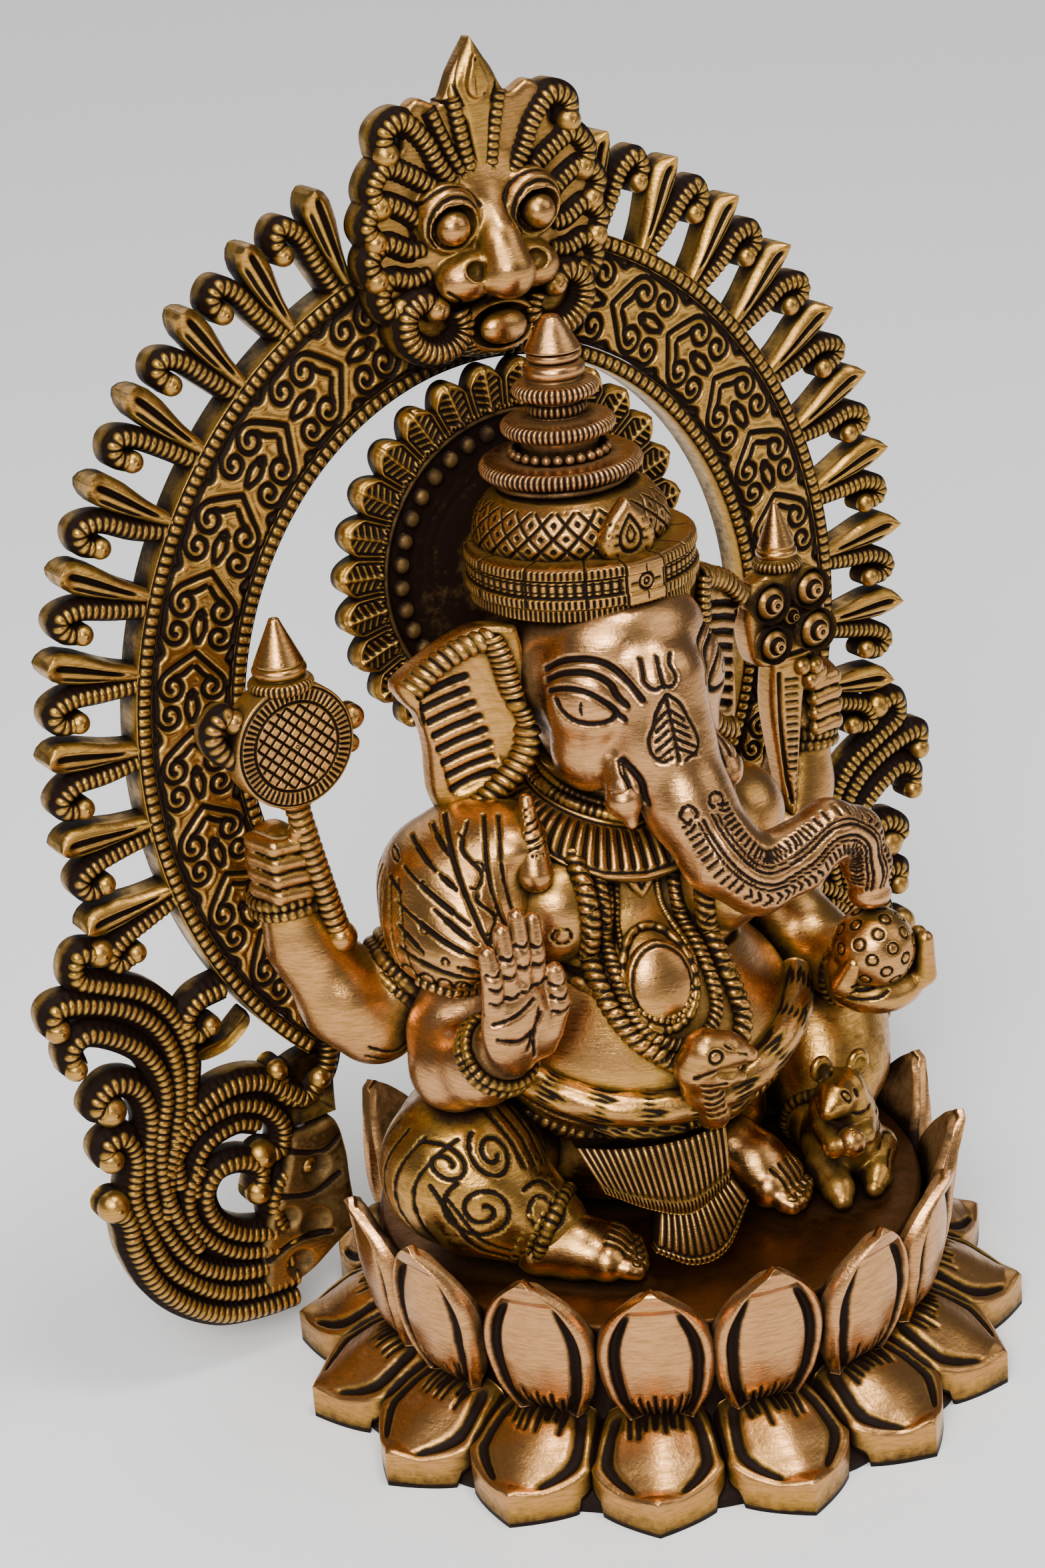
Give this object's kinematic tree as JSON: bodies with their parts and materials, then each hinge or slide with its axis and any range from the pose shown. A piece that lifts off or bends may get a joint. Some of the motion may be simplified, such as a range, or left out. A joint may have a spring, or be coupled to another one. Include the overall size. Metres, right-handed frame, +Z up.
{
  "type": "devotional statue",
  "caption": "Brass elephant-headed seated figure on a two-tier lotus base, framed by a pierced arch with a lion mask; stands on a shelf, table or altar",
  "frame": {"origin": "middle of the underside, on the surface it stands on", "axes": "+Z up, -Y is where the figure faces, +X is the figure's left"},
  "size_m": [0.2774, 0.1884, 0.332],
  "materials": {
    "base_brass": "antiqued cast brass, polished on the high places and black-brown in the grooves",
    "polished_brass": "hand-polished pinkish brass with fine brushed scratches",
    "seat_brown": "dark brown satin patina with a light grain",
    "arch_brass": "engraved and antiqued, bright on the ridges and black in the cuts",
    "figure_brass": "golden satin cast brass with dark grooves",
    "dark_brass": "dark unpolished casting with brighter ridges",
    "fixing_steel": "zinc-plated steel"
  },
  "bodies": {
    "root": {"lotus_base": "base_brass", "lower_petals": "base_brass", "upper_petals": "polished_brass", "trunk": "polished_brass", "tusks": "polished_brass", "rear_right_arm": "polished_brass", "rear_left_arm": "polished_brass", "front_right_arm": "polished_brass", "front_left_arm": "polished_brass", "right_foot": "polished_brass", "left_foot": "polished_brass", "sweet": "polished_brass", "crown_finial": "polished_brass", "mouse_sweet": "polished_brass", "seat_plate": "seat_brown", "arch_band": "arch_brass", "arch_outer_beading": "arch_brass", "arch_inner_beading": "arch_brass", "flame_leaves": "arch_brass", "flame_curls": "arch_brass", "side_scroll_left": "arch_brass", "side_scroll_right": "arch_brass", "mask_face": "arch_brass", "mask_crest": "arch_brass", "torso": "figure_brass", "shoulder_shawl": "figure_brass", "head": "figure_brass", "ear_left": "figure_brass", "ear_right": "figure_brass", "crown_band": "figure_brass", "crown_dome": "figure_brass", "crown_tiers": "figure_brass", "bangles": "figure_brass", "goad": "figure_brass", "lotus_sceptre": "figure_brass", "right_leg": "figure_brass", "left_leg": "figure_brass", "cloth_pleats": "figure_brass", "snake_belt": "figure_brass", "collar": "figure_brass", "garland": "figure_brass", "medallion": "figure_brass", "mouse": "figure_brass", "arch_lug_left": "dark_brass", "arch_lug_right": "dark_brass", "halo_disc": "dark_brass", "halo_petals": "dark_brass", "figure_bolt": "fixing_steel", "figure_washer": "fixing_steel", "figure_nut": "fixing_steel", "lug_screws": "fixing_steel", "lug_pins": "fixing_steel"}
  },
  "joints": []
}
